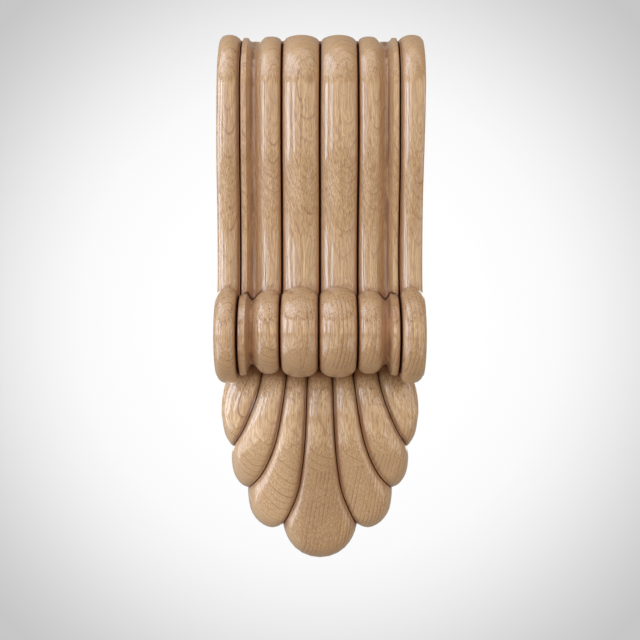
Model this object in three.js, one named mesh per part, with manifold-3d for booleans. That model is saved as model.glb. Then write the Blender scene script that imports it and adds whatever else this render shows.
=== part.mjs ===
// A carved hardwood corbel, in millimetres: one block with a reeded S-shaped body, a reeded roll
// across its neck and a seven-lobed shell leaf below. The wall is the plane y = 0, the front looks
// along -Y and +Z is up. The origin is the middle of the flat back. "Out" is the distance from the wall.
import * as THREE from "three";
import { mergeVertices } from "three/addons/utils/BufferGeometryUtils.js";
import Module from "manifold-3d";

const wasm = await Module();
wasm.setup();

const { degToRad, lerp } = THREE.MathUtils;

const height = 330;
const width = 124;
const topZ = height / 2;
const tipZ = -height / 2;
const halfWidth = width / 2;

// Front profile at the reeds' ground: a round under the flat top, a slow S to the neck, then a flare
const bellyOut = 84;
const topRadius = 38.5;
const topRise = 37;
const bellyZ = topZ - topRise;
const bellyDrop = 108;
const neckRecess = 13.2;
const neckZ = bellyZ - bellyDrop;
const neckOut = bellyOut - neckRecess;
const flareRadius = 45;
const flareAngle = degToRad(28);
const bodyFoot = { out: 72, z: -36 };
const profileSteps = { top: 9, slow: 4, flare: 3 };

// Reed section, measured from the middle of the width: slots, beads, an ogee with a fillet, outer beads
const slotAt = [0, 23.1, 48.4];
const slotWidth = 1.8;
const slotDepth = 4;
const slotDepthAtTop = 1.1;
const beadRise = 5;
const ogeeCrest = { at: 29.5, rise: 3.2 };
const ogeeHollow = { at: 39.6, rise: -0.9 };
const fillet = { from: 44.6, to: 46.2, rise: 1.9 };
const bodyOuterBead = { at: 55.4, rise: 5, innerHalf: 6.1, outerHalf: 7.4 };
const sectionSteps = { bead: 10, crest: 4, ogee: 4, hollow: 2, fillet: 2, outerBead: 8 };

// Roll: a reeded cylinder across the neck, with its axis along X and its reeds a little lower
const rollAxis = { out: 74.5, z: -18.7 };
const rollLipRadius = 22;
const rollReedScale = 0.9;
const rollOuterBead = { at: 55, rise: 7.2, innerHalf: 5.7, outerHalf: 7.3 };
const rollSteps = 28;

// Shell leaf: the crest line of its bulge, its curve across, and the rounding of its ribs and ends
const leafHeadZ = -30;
const bulge = { z: -71, radius: 60, out: 72, endAngle: degToRad(25) };
const leafStraighten = 0.0013;
const leafSideDrop = 8;
const rib = { rise: 5, shoulder: 1.06, grooveDepth: 2.6 };
const lobeEnd = { length: 11, drop: 14 };
const lobeColumns = [0, 0.06, 0.16, 0.33, 0.5, 0.67, 0.84, 0.94, 1];
const leafRows = 12;
const leafRowCrowding = 1.5;

// Grooves of the leaf's right half, (x, z), from under the roll to the notch between two lobes
const grooveLines = [
  [[7.6, leafHeadZ], [7.7, -44], [8.8, -80], [10.8, -102], [14.6, -121], [24.2, -143]],
  [[20, leafHeadZ], [20.6, -44], [24.3, -72], [29, -91], [36.6, -107], [46.8, -118.5]],
  [[35, leafHeadZ], [36.3, -44], [39, -57], [43, -68], [48.5, -80], [55.5, -90.8]],
  [[56.5, leafHeadZ], [58.6, -44], [61.2, -56], [61.9, -66], [61.6, -74]],
];
// Rounded ends of the lobes, from the outer notch of each to its inner one; the first is half a lobe
const lobeEndLines = [
  [[24.2, -143], [21.8, -150.4], [17.2, -157.6], [9.6, -163], [0, tipZ]],
  [[46.8, -118.5], [46.2, -126], [44.7, -133.5], [41, -139.6], [36, -143.6], [30.5, -145], [24.2, -143]],
  [[55.5, -90.8], [56.4, -98.5], [55.2, -108], [51.6, -114.8], [46.8, -118.5]],
  [[61.6, -74], [59.9, -82.6], [55.5, -90.8]],
];

// Sides: a shallow sunk panel that follows the front, and a spiral groove round an eye on the roll's end
const panel = { depth: 2, frontBorder: 9, topZ: 152, backOut: 13, footZ: -27, rollRadius: 33, steps: 5 };
const volute = { startAngle: degToRad(232), turns: 1.45, from: 26.5, eye: 6.4, windIn: 0.8 };
const voluteCut = { width: 2.8, depth: 2, stepsPerTurn: 22 };
const cutProud = 1;

const ellipse = (u) => Math.sqrt(Math.max(0, 1 - u * u));
const easeInOut = (u) => (1 - Math.cos(Math.PI * u)) / 2;

// Height of the reeds above the lips of the slots
function reedHeight(x, outerBead) {
  const at = Math.abs(x);
  const half = slotWidth / 2;
  const [, innerSlot, outerSlot] = slotAt;
  if (slotAt.includes(at)) return -slotDepth;
  if (at < innerSlot) {
    const middle = innerSlot / 2;
    return beadRise * ellipse((at - middle) / (middle - half));
  }
  if (at < ogeeCrest.at) {
    return ogeeCrest.rise * ellipse((ogeeCrest.at - at) / (ogeeCrest.at - innerSlot - half));
  }
  if (at < ogeeHollow.at) {
    const u = (at - ogeeCrest.at) / (ogeeHollow.at - ogeeCrest.at);
    return lerp(ogeeCrest.rise, ogeeHollow.rise, easeInOut(u));
  }
  if (at < fillet.from) {
    const u = (at - ogeeHollow.at) / (fillet.from - ogeeHollow.at);
    return lerp(ogeeHollow.rise, fillet.rise, u * u);
  }
  if (at <= fillet.to) return fillet.rise;
  if (at < outerSlot) {
    return fillet.rise * ellipse((at - fillet.to) / (outerSlot - half - fillet.to));
  }
  const reach = at < outerBead.at ? outerBead.innerHalf : outerBead.outerHalf;
  return outerBead.rise * ellipse((at - outerBead.at) / reach);
}

// Places across the width where the section is sampled, closest together at the edges of each bead
function reedPlaces() {
  const half = slotWidth / 2;
  const quarter = Math.PI / 2;
  const [, innerSlot, outerSlot] = slotAt;
  const places = [0];
  const addArc = (from, to, steps, startAngle, endAngle) => {
    const low = Math.sin(startAngle);
    const high = Math.sin(endAngle);
    for (let i = 0; i <= steps; i++) {
      const wave = Math.sin(lerp(startAngle, endAngle, i / steps));
      places.push(lerp(from, to, (wave - low) / (high - low)));
    }
  };
  const addEven = (from, to, steps) => {
    for (let i = 1; i <= steps; i++) places.push(lerp(from, to, i / steps));
  };
  addArc(half, innerSlot - half, sectionSteps.bead, -quarter, quarter);
  places.push(innerSlot);
  addArc(innerSlot + half, ogeeCrest.at, sectionSteps.crest, -quarter, 0);
  addEven(ogeeCrest.at, ogeeHollow.at, sectionSteps.ogee);
  addEven(ogeeHollow.at, fillet.from, sectionSteps.hollow);
  addArc(fillet.to, outerSlot - half, sectionSteps.fillet, 0, quarter);
  places.push(outerSlot);
  const sideAngle = Math.asin((halfWidth - bodyOuterBead.at) / bodyOuterBead.outerHalf);
  addArc(outerSlot + half, halfWidth, sectionSteps.outerBead, -quarter, sideAngle);
  const mirrored = places.slice(1).map((x) => -x);
  return [...mirrored.reverse(), ...places];
}

// One column of the body's front, from the flat top down, at a height above the reeds' ground
function bodyColumn(x, rise) {
  const points = [];
  const add = (centreOut, centreZ, reach, angle) => {
    points.push([x, -(centreOut + reach * Math.cos(angle)), centreZ + reach * Math.sin(angle)]);
  };
  const riseAtTop = Math.max(rise, -slotDepthAtTop);
  const topAngle = Math.asin(topRise / (topRadius + riseAtTop));
  for (let i = 0; i <= profileSteps.top; i++) {
    const u = i / profileSteps.top;
    add(bellyOut - topRadius, bellyZ, topRadius + lerp(riseAtTop, rise, u), topAngle * (1 - u));
  }
  // Two equal arcs carry the front back to the neck
  const slowRadius = (bellyDrop ** 2 + neckRecess ** 2) / (4 * neckRecess);
  const slowAngle = Math.asin(bellyDrop / 2 / slowRadius);
  for (let i = 1; i <= profileSteps.slow; i++) {
    add(bellyOut - slowRadius, bellyZ, slowRadius + rise, (-slowAngle * i) / profileSteps.slow);
  }
  for (let i = profileSteps.slow - 1; i >= 0; i--) {
    const angle = (slowAngle * i) / profileSteps.slow;
    add(neckOut + slowRadius, neckZ, rise - slowRadius, -angle);
  }
  for (let i = 1; i <= profileSteps.flare; i++) {
    const angle = (flareAngle * i) / profileSteps.flare;
    add(neckOut + flareRadius, neckZ, rise - flareRadius, angle);
  }
  points.push([x, -bodyFoot.out, bodyFoot.z]);
  return points;
}

function solidFromGeometry(geometry) {
  const bare = geometry.index ? geometry.toNonIndexed() : geometry;
  bare.deleteAttribute("normal");
  bare.deleteAttribute("uv");
  const merged = mergeVertices(bare, 1e-4);
  const mesh = new wasm.Mesh({
    numProp: 3,
    vertProperties: new Float32Array(merged.attributes.position.array),
    triVerts: new Uint32Array(merged.index.array),
  });
  return new wasm.Manifold(mesh);
}

function solidFromCorners(corners) {
  const geometry = new THREE.BufferGeometry();
  geometry.setAttribute("position", new THREE.Float32BufferAttribute(corners.flat(), 3));
  return solidFromGeometry(geometry);
}

function geometryFromSolid(solid) {
  const mesh = solid.getMesh();
  const geometry = new THREE.BufferGeometry();
  geometry.setAttribute("position", new THREE.Float32BufferAttribute(mesh.vertProperties, 3));
  geometry.setIndex(Array.from(mesh.triVerts));
  geometry.computeVertexNormals();
  return geometry;
}

// A closed solid from columns of front points: its four edges run straight back to the wall
function solidToWall(columns) {
  const lastRow = columns[0].length - 1;
  const lastColumn = columns.length - 1;
  const corners = [];
  const addQuad = (a, b, c, d) => corners.push(a, b, c, a, c, d);
  const onWall = ([x, , z]) => [x, 0, z];
  for (let i = 0; i < lastColumn; i++) {
    for (let j = 0; j < lastRow; j++) {
      addQuad(columns[i][j], columns[i][j + 1], columns[i + 1][j + 1], columns[i + 1][j]);
    }
  }
  const rim = [];
  for (let i = 0; i < lastColumn; i++) rim.push(columns[i][0]);
  for (let j = 0; j < lastRow; j++) rim.push(columns[lastColumn][j]);
  for (let i = lastColumn; i > 0; i--) rim.push(columns[i][lastRow]);
  for (let j = lastRow; j > 0; j--) rim.push(columns[0][j]);
  rim.forEach((point, i) => {
    const next = rim[(i + 1) % rim.length];
    addQuad(point, next, onWall(next), onWall(point));
  });
  const outline = rim.map(([x, , z]) => new THREE.Vector2(x, z));
  for (const face of THREE.ShapeUtils.triangulateShape(outline, [])) {
    const [a, b, c] = face.map((index) => onWall(rim[index]));
    const turn = (b[0] - a[0]) * (c[2] - a[2]) - (b[2] - a[2]) * (c[0] - a[0]);
    corners.push(a, ...(turn > 0 ? [c, b] : [b, c]));
  }
  return solidFromCorners(corners);
}

function makeBody() {
  return solidToWall(reedPlaces().map((x) => bodyColumn(x, reedHeight(x, bodyOuterBead))));
}

// The roll is the reed section turned round its axis, with flat ends
function makeRoll() {
  const rim = reedPlaces().map((x) => {
    const radius = rollLipRadius + rollReedScale * reedHeight(x, rollOuterBead);
    return new THREE.Vector2(radius, x);
  });
  const profile = [new THREE.Vector2(0, -halfWidth), ...rim, new THREE.Vector2(0, halfWidth)];
  const geometry = new THREE.LatheGeometry(profile, rollSteps);
  geometry.rotateZ(-Math.PI / 2);
  geometry.translate(0, -rollAxis.out, rollAxis.z);
  return solidFromGeometry(geometry);
}

// Distance out of the middle lobe's crest at a height: an arc, then a slope that slowly steepens
function leafCrestOut(z) {
  const centreOut = bulge.out - bulge.radius;
  const bendZ = bulge.z - bulge.radius * Math.sin(bulge.endAngle);
  if (z > bendZ) return centreOut + Math.sqrt(bulge.radius ** 2 - (z - bulge.z) ** 2);
  const below = bendZ - z;
  const bendOut = centreOut + bulge.radius * Math.cos(bulge.endAngle);
  return bendOut - Math.tan(bulge.endAngle) * below + leafStraighten * below ** 2;
}

function curveThrough(points) {
  return new THREE.SplineCurve(points.map(([x, z]) => new THREE.Vector2(x, z)));
}

// Plan points of one lobe, column by column: a patch blended between its two grooves and its end
function lobePlan(innerLine, outerLine, endLine) {
  const [headIn, headOut] = [innerLine.getPointAt(0), outerLine.getPointAt(0)];
  const [footIn, footOut] = [innerLine.getPointAt(1), outerLine.getPointAt(1)];
  return lobeColumns.map((s) => {
    const head = headIn.clone().lerp(headOut, s);
    const foot = footIn.clone().lerp(footOut, s);
    const column = [];
    for (let j = 0; j <= leafRows; j++) {
      const t = 1 - (1 - j / leafRows) ** leafRowCrowding;
      const acrossLobe = innerLine.getPointAt(t).lerp(outerLine.getPointAt(t), s);
      const downLobe = head.clone().lerp(endLine.getPointAt(1 - s), t);
      column.push(acrossLobe.add(downLobe).sub(head.clone().lerp(foot, t)));
    }
    return column;
  });
}

// How far a rib has fallen from its crest, from one groove (s = 0) to the next (s = 1)
function ribDrop(s) {
  const drop = rib.rise * (1 - ellipse(Math.min(1, Math.abs(2 * s - 1) * rib.shoulder)));
  return s === 0 || s === 1 ? drop + rib.grooveDepth : drop;
}

// Raises one column of plan points to the leaf's surface, and rounds it off at the lobe's end
function liftColumn(plan, drop) {
  const toEnd = new Array(plan.length).fill(0);
  for (let j = plan.length - 2; j >= 0; j--) toEnd[j] = toEnd[j + 1] + plan[j].distanceTo(plan[j + 1]);
  return plan.map((point, j) => {
    const endDrop = lobeEnd.drop * (1 - ellipse(Math.max(0, 1 - toEnd[j] / lobeEnd.length)));
    const sideDrop = leafSideDrop * (point.x / halfWidth) ** 2;
    return [point.x, -(leafCrestOut(point.y) - sideDrop - drop - endDrop), point.y];
  });
}

function makeLeaf() {
  const mirror = (points) => points.map(([x, z]) => [-x, z]);
  const lines = grooveLines.map(curveThrough);
  const raise = (plans) => plans.map((plan, k) => liftColumn(plan, ribDrop(lobeColumns[k])));
  const rightHalf = [];
  for (let lobe = 1; lobe < lobeEndLines.length; lobe++) {
    const columns = raise(lobePlan(lines[lobe - 1], lines[lobe], curveThrough(lobeEndLines[lobe])));
    rightHalf.push(...(lobe > 1 ? columns.slice(1) : columns));
  }
  const leftHalf = rightHalf.map((column) => column.map(([x, y, z]) => [-x, y, z])).reverse();
  const middleEnd = [...lobeEndLines[0], ...mirror(lobeEndLines[0]).reverse().slice(1)];
  const middle = raise(lobePlan(curveThrough(mirror(grooveLines[0])), lines[0], curveThrough(middleEnd)));
  return solidToWall([...leftHalf, ...middle.slice(1, -1), ...rightHalf]);
}

// Outline of the sunk panel in (out, z): down the front, round the roll, then back along the wall
function panelOutline() {
  const points = [];
  const topReach = topRadius - panel.frontBorder;
  const topAngle = Math.asin((panel.topZ - bellyZ) / topReach);
  for (let i = 0; i <= panel.steps; i++) {
    const angle = topAngle * (1 - i / panel.steps);
    points.push([bellyOut - topRadius + topReach * Math.cos(angle), bellyZ + topReach * Math.sin(angle)]);
  }
  const frontSteps = 2 * panel.steps;
  const frontFootZ = rollAxis.z + panel.rollRadius - cutProud;
  for (let i = 1; i <= frontSteps; i++) {
    const z = lerp(bellyZ, frontFootZ, i / frontSteps);
    const recess = neckRecess * easeInOut(Math.min(1, (bellyZ - z) / bellyDrop));
    points.push([bellyOut - panel.frontBorder - recess, z]);
  }
  const [frontFootOut] = points[points.length - 1];
  const fromAngle = Math.acos((frontFootOut - rollAxis.out) / panel.rollRadius);
  const toAngle = Math.PI - Math.asin((panel.footZ - rollAxis.z) / panel.rollRadius);
  for (let i = 1; i <= frontSteps; i++) {
    const angle = lerp(fromAngle, toAngle, i / frontSteps);
    const out = rollAxis.out + panel.rollRadius * Math.cos(angle);
    points.push([out, rollAxis.z + panel.rollRadius * Math.sin(angle)]);
  }
  points.push([panel.backOut, panel.footZ], [panel.backOut, panel.topZ]);
  return points.map(([out, z]) => new THREE.Vector2(out, z));
}

// The panel's cut on the right side (side = 1) or the left (side = -1)
function makePanelCut(side) {
  const shape = new THREE.Shape(panelOutline());
  const geometry = new THREE.ExtrudeGeometry(shape, {
    depth: panel.depth + cutProud,
    bevelEnabled: false,
    steps: 1,
  });
  // The shape's x turns to -Y and its y to Z, and the extrusion runs towards -X
  geometry.applyMatrix4(new THREE.Matrix4().set(0, 0, -1, 0, -1, 0, 0, 0, 0, 1, 0, 0, 0, 0, 0, 1));
  geometry.translate(side > 0 ? halfWidth + cutProud : panel.depth - halfWidth, 0, 0);
  return solidFromGeometry(geometry);
}

// A V groove that winds in from the foot of the body and closes in a full turn round the eye
function makeVoluteCut(side) {
  const turnsInAll = volute.turns + 1;
  const steps = Math.round(turnsInAll * voluteCut.stepsPerTurn);
  const halfTop = (voluteCut.width / 2) * (1 + cutProud / voluteCut.depth);
  const rings = [];
  for (let i = 0; i <= steps; i++) {
    const turned = (turnsInAll * i) / steps;
    const angle = volute.startAngle - turned * 2 * Math.PI;
    const radius = lerp(volute.from, volute.eye, Math.min(1, turned / volute.turns) ** volute.windIn);
    const place = (reach, x) => {
      const out = rollAxis.out + reach * Math.cos(angle);
      return [side * x, -out, rollAxis.z + reach * Math.sin(angle)];
    };
    rings.push([
      place(radius - halfTop, halfWidth + cutProud),
      place(radius + halfTop, halfWidth + cutProud),
      place(radius, halfWidth - voluteCut.depth),
    ]);
  }
  const corners = [];
  const addTriangle = (a, b, c) => corners.push(a, ...(side > 0 ? [b, c] : [c, b]));
  for (let i = 0; i < steps; i++) {
    rings[i].forEach((corner, k) => {
      const next = (k + 1) % rings[i].length;
      addTriangle(corner, rings[i][next], rings[i + 1][next]);
      addTriangle(corner, rings[i + 1][next], rings[i + 1][k]);
    });
  }
  const [first, last] = [rings[0], rings[steps]];
  addTriangle(first[0], first[2], first[1]);
  addTriangle(last[0], last[1], last[2]);
  return solidFromCorners(corners);
}

let carved = makeBody().add(makeRoll()).add(makeLeaf());
for (const side of [1, -1]) {
  carved = carved.subtract(makePanelCut(side)).subtract(makeVoluteCut(side));
}

const paleWood = new THREE.MeshStandardMaterial({ color: 0xc49f76, roughness: 0.45, metalness: 0 });
const block = new THREE.Mesh(geometryFromSolid(carved), paleWood);
block.name = "corbel";

const corbel = new THREE.Group();
corbel.add(block);

export default corbel;
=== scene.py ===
import math

import bpy
import numpy as np
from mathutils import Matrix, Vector, noise
from mathutils.bvhtree import BVHTree


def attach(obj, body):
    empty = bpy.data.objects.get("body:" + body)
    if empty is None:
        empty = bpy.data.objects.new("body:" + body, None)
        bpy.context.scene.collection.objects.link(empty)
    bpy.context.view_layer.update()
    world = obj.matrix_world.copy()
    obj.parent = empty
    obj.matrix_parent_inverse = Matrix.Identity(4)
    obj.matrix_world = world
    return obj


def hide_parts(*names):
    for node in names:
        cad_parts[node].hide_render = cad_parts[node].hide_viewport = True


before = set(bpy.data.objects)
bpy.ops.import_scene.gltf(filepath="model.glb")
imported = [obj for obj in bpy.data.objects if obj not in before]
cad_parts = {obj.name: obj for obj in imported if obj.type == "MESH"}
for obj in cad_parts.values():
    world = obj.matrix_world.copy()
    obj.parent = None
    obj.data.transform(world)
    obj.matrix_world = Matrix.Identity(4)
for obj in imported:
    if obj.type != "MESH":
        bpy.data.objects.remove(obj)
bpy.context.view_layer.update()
print("frame loaded")

# Shapes are worked out in millimetres and put down in metres. "Out" is the distance from the wall
mm = 0.001


def lerp(a, b, u):
    return a + (b - a) * u


def clamp(u):
    return min(1, max(0, u))


def ease(u):
    return (1 - math.cos(math.pi * clamp(u))) / 2


def ellipse(u):
    return math.sqrt(max(0, 1 - u * u))


def deselectAll():
    bpy.ops.object.select_all(action="DESELECT")


def placePoints(piece, points):
    flat = np.array(points, float).reshape(-1) * mm
    piece.data.vertices.foreach_set("co", flat)
    piece.data.update()


def gridFromColumns(name, columns):
    # A grid's points run from left to right, then from the bottom row up
    across, upright = len(columns), len(columns[0])
    deselectAll()
    bpy.ops.mesh.primitive_grid_add(x_subdivisions=across - 1, y_subdivisions=upright - 1, size=1)
    piece = bpy.context.object
    piece.name = name
    placePoints(piece, [column[j] for j in range(upright) for column in columns])
    return piece


def editAll(piece):
    deselectAll()
    bpy.context.view_layer.objects.active = piece
    piece.select_set(True)
    bpy.ops.object.mode_set(mode="EDIT")
    bpy.ops.mesh.select_mode(type="EDGE")
    bpy.ops.mesh.select_all(action="SELECT")


def fillRims(mergeWithin):
    bpy.ops.mesh.remove_doubles(threshold=mergeWithin * mm)
    bpy.ops.mesh.region_to_loop()
    bpy.ops.mesh.edge_face_add()


def faceOutwards():
    # Also leaves edit mode
    bpy.ops.mesh.select_all(action="SELECT")
    bpy.ops.mesh.normals_make_consistent(inside=False)
    bpy.ops.object.mode_set(mode="OBJECT")


def applyModifier(piece, kind, **settings):
    modifier = piece.modifiers.new("", kind)
    for key, value in settings.items():
        setattr(modifier, key, value)
    bpy.context.view_layer.objects.active = piece
    bpy.ops.object.modifier_apply(modifier=modifier.name)


def combine(piece, other, operation):
    applyModifier(piece, "BOOLEAN", object=other, operation=operation, solver="MANIFOLD")
    bpy.data.objects.remove(other)


block = {  # the whole corbel
    "height": 330,
    "halfWidth": 62,
    "arris": 0.6,  # softened edges of the flat faces
    "backInset": (0.992, 0.996),  # how much the back's chamfer draws it in, across and upright
}

handCarving = {
    "waves": [(0.16, (9, 16, 26), 0), (0.1, (4, 9, 11), 7)],  # rise; lengths across, out and up; shift
    "leanFrom": 49,  # the outer beads lean out a little, from this far aside
    "leanWidth": 13,
    "leanZ": 60,
    "leanHeight": 95,
    "leanRight": (0.4, 1.5),  # below, then at the top
    "leanLeft": (-0.4, 0.3),
    "wander": 0.35,  # slots drift a little as they go down
    "wanderWidth": 24,
    "wanderStep": 3.7,
    "wanderLength": 55,
    "wanderEdge": 61,
    "wanderFade": 8,
}


def handWave(x, out, z):
    # Slow unevenness left by hand carving and sanding
    height = 0
    for rise, (across, outwards, upwards), shift in handCarving["waves"]:
        height += rise * noise.noise(Vector((x / across, out / outwards, z / upwards + shift)))
    return height


def bodyEdgeShift(x, z):
    # The real block's sides aren't quite parallel: how far its outer beads lean out
    share = clamp((abs(x) - handCarving["leanFrom"]) / handCarving["leanWidth"])
    high = ease((z - handCarving["leanZ"]) / handCarving["leanHeight"])
    return share * lerp(*handCarving["leanRight" if x > 0 else "leanLeft"], high)


def slotWander(x, z):
    band = round(x / handCarving["wanderWidth"]) * handCarving["wanderStep"]
    drift = noise.noise(Vector((band, 0.3, z / handCarving["wanderLength"])))
    fade = clamp((handCarving["wanderEdge"] - abs(x)) / handCarving["wanderFade"])
    return handCarving["wander"] * drift * fade


# The section across body and roll: heights above the lips of the slots, at distances from the middle
bodyReeds = {
    "slots": [(0, 0.7), (23.1, 0.7), (48.4, 0.46)],  # place and half width
    "slotDepth": 5.5,
    "beadRise": 5,
    "beadShape": (2, 0.88),  # power across, then how steep its edges are: (2, 0.5) is half an ellipse
    "ogeeCrest": (29.5, 3.2),
    "ogeeHollow": (40.4, -3),
    "ogeeBend": 1.5,
    "fillet": (44.4, 46.8, 1.9),
    "outer": (55.4, 5, 6.1, 7.4),  # crest, rise, inner and outer half widths
    "outerShape": (2, 0.8),
}

rollReeds = {
    "slots": [(0, 0.4), (23.1, 0.5), (48.4, 0.38)],
    "slotDepth": 4.2,
    "beadRise": 6.2,
    "beadShape": (2, 0.5),
    "ogeeCrest": (29.8, 3.9),
    "ogeeHollow": (40.6, -1.8),
    "ogeeBend": 1.8,
    "fillet": (43.6, 47.1, 3.3),
    "outer": (55, 7.8, 6, 7.5),
    "outerShape": (2.6, 0.4),
}

slots = {
    "depthAtTop": 0.3,
    "hollowDepthAtTop": 0.7,
    "startSharply": 11,
    "floor": 0.5,  # share of the width that is full depth
    "wallBend": 1.5,
    "hollowBend": 1.6,  # how the ogee's hollow turns up to the fillet
}

reedSteps = {  # columns across each part of the section
    "slot": (0, 0.5, 0.7, 0.9),
    "bead": 24,
    "crest": 10,
    "ogee": 12,
    "hollow": 7,
    "fillet": 2,
    "filletEdge": 5,
    "outer": 20,
}


def hump(u, shape):
    power, steepness = shape
    return (1 - min(1, abs(u)) ** power) ** steepness


def reedHeight(x, section):
    at = abs(x)
    (_, middleHalf), (innerSlot, innerHalf), (outerSlot, outerHalf) = section["slots"]
    for slot, half in section["slots"]:
        if abs(at - slot) < half:
            u = clamp((abs(at - slot) / half - slots["floor"]) / (1 - slots["floor"]))
            return -section["slotDepth"] * (1 - u ** slots["wallBend"])
    crestAt, crestRise = section["ogeeCrest"]
    hollowAt, hollowRise = section["ogeeHollow"]
    filletFrom, filletTo, filletRise = section["fillet"]
    if at < innerSlot:
        middle = (middleHalf + innerSlot - innerHalf) / 2
        return section["beadRise"] * hump((at - middle) / (middle - middleHalf), section["beadShape"])
    if at < crestAt:
        u = (crestAt - at) / (crestAt - innerSlot - innerHalf)
        return crestRise * hump(u, section["beadShape"])
    if at < hollowAt:
        u = ((at - crestAt) / (hollowAt - crestAt)) ** section["ogeeBend"]
        return lerp(crestRise, hollowRise, ease(u))
    if at < filletFrom:
        u = ((at - hollowAt) / (filletFrom - hollowAt)) ** slots["hollowBend"]
        return lerp(hollowRise, filletRise, u)
    if at <= filletTo:
        return filletRise
    if at < outerSlot:
        return filletRise * ellipse((at - filletTo) / (outerSlot - outerHalf - filletTo))
    beadAt, beadRise, towardsSlot, towardsSide = section["outer"]
    u = (at - beadAt) / (towardsSlot if at < beadAt else towardsSide)
    return beadRise * hump(u, section["outerShape"])


def reedPlaces(edge, section):
    # Places across the width, closest together at the edges of each bead and down the slots
    (_, middleHalf), (innerSlot, innerHalf), (outerSlot, outerHalf) = section["slots"]
    crestAt = section["ogeeCrest"][0]
    hollowAt = section["ogeeHollow"][0]
    filletFrom, filletTo = section["fillet"][:2]
    beadAt, towardsSide = section["outer"][0], section["outer"][3]
    places = []

    def addArc(start, end, steps, startAngle, endAngle):
        low, high = math.sin(startAngle), math.sin(endAngle)
        for i in range(steps + 1):
            wave = math.sin(lerp(startAngle, endAngle, i / steps))
            places.append(lerp(start, end, (wave - low) / (high - low)))

    def addEven(start, end, steps):
        places.extend(lerp(start, end, i / steps) for i in range(1, steps + 1))

    for slot, half in section["slots"]:
        for share in reedSteps["slot"]:
            places.extend([slot - half * share, slot + half * share])
    quarter = math.pi / 2
    edgeAngle = math.asin((edge - beadAt) / towardsSide)
    addArc(middleHalf, innerSlot - innerHalf, reedSteps["bead"], -quarter, quarter)
    addArc(innerSlot + innerHalf, crestAt, reedSteps["crest"], -quarter, 0)
    addEven(crestAt, hollowAt, reedSteps["ogee"])
    addEven(hollowAt, filletFrom, reedSteps["hollow"])
    addEven(filletFrom, filletTo, reedSteps["fillet"])
    addArc(filletTo, outerSlot - outerHalf, reedSteps["filletEdge"], 0.2, quarter)
    addArc(outerSlot + outerHalf, edge, reedSteps["outer"], -quarter, edgeAngle)
    right = sorted(set(round(place, 4) for place in places if place >= 0))
    return [-place for place in right[:0:-1]] + right


body = {  # front profile at the lips of the slots
    "bellyOut": 84,
    "topRadius": 38.5,
    "topRise": 37,
    "bellyDrop": 108,
    "neckRecess": 13.2,
    "flareRadius": 45,
    "flareAngle": math.radians(28),
    "footOut": 72,
    "footZ": -36,
    "topSteps": 44,
    "slowSteps": 34,
    "flareSteps": 16,
}


def bodyColumn(x, rise):
    # One line down the front, round the belly and the neck to the foot under the roll
    topRadius, flareRadius, slowSteps = body["topRadius"], body["flareRadius"], body["slowSteps"]
    topZ = block["height"] / 2
    bellyZ = topZ - body["topRise"]
    neckZ = bellyZ - body["bellyDrop"]
    neckOut = body["bellyOut"] - body["neckRecess"]
    points = []

    def add(centreOut, centreZ, reach, angle):
        points.append([centreOut + reach * math.cos(angle), centreZ + reach * math.sin(angle)])

    onSlot = min(abs(abs(x) - slot) - half for slot, half in bodyReeds["slots"]) < 0
    riseAtTop = max(rise, -slots["depthAtTop" if onSlot else "hollowDepthAtTop"])
    startZ = topZ - (block["arris"] if abs(x) == block["halfWidth"] else 0)
    topAngle = math.asin((startZ - bellyZ) / (topRadius + riseAtTop))
    for i in range(body["topSteps"] + 1):
        u = i / body["topSteps"]
        reach = topRadius + lerp(riseAtTop, rise, ease(u * slots["startSharply"]))
        add(body["bellyOut"] - topRadius, bellyZ, reach, topAngle * (1 - u))
    slowRadius = (body["bellyDrop"] ** 2 + body["neckRecess"] ** 2) / (4 * body["neckRecess"])
    slowAngle = math.asin(body["bellyDrop"] / 2 / slowRadius)
    for i in range(1, slowSteps + 1):
        add(body["bellyOut"] - slowRadius, bellyZ, slowRadius + rise, -slowAngle * i / slowSteps)
    for i in range(slowSteps - 1, -1, -1):
        add(neckOut + slowRadius, neckZ, rise - slowRadius, -slowAngle * i / slowSteps)
    for i in range(1, body["flareSteps"] + 1):
        angle = body["flareAngle"] * i / body["flareSteps"]
        add(neckOut + flareRadius, neckZ, rise - flareRadius, angle)
    points.append([body["footOut"], body["footZ"]])
    points.reverse()
    placed = []
    for j, (out, z) in enumerate(points):
        wave = 0 if j in (0, len(points) - 1) else handWave(x, out, z)
        placed.append([x + bodyEdgeShift(x, z) + slotWander(x, z), -(out + wave), z])
    return placed


def closeToWall(piece):
    # The front's rim is pulled straight back to the wall, with a small chamfer there, and the back filled
    arris = block["arris"] * mm
    across, upright = block["backInset"]
    editAll(piece)
    bpy.ops.mesh.region_to_loop()
    bpy.ops.mesh.extrude_edges_move()
    bpy.ops.transform.resize(value=(1, 0, 1), center_override=(0, -arris, 0))
    bpy.ops.mesh.extrude_edges_move()
    bpy.ops.transform.translate(value=(0, arris, 0))
    bpy.ops.transform.resize(value=(across, 1, upright), center_override=(0, 0, 0))
    bpy.ops.mesh.edge_face_add()
    faceOutwards()


def makeBody():
    places = reedPlaces(block["halfWidth"], bodyReeds)
    piece = gridFromColumns("reededBody", [bodyColumn(x, reedHeight(x, bodyReeds)) for x in places])
    closeToWall(piece)
    print("body made")
    return piece


roll = {
    "out": 74,
    "z": -17.4,
    "lipRadius": 21.4,
    "outerDrop": 1.8,  # how much lower the outer beads are centred
    "dropFrom": 41,
    "dropWidth": 5,
    "aside": 0.7,  # how far left the real roll's slots sit
    "asideFade": 10,
    "proud": 0.3,  # how far its ends stand out of the sides
    "waveShift": 31,
    "waveReach": (20, 40),
    "steps": 150,
}


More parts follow.
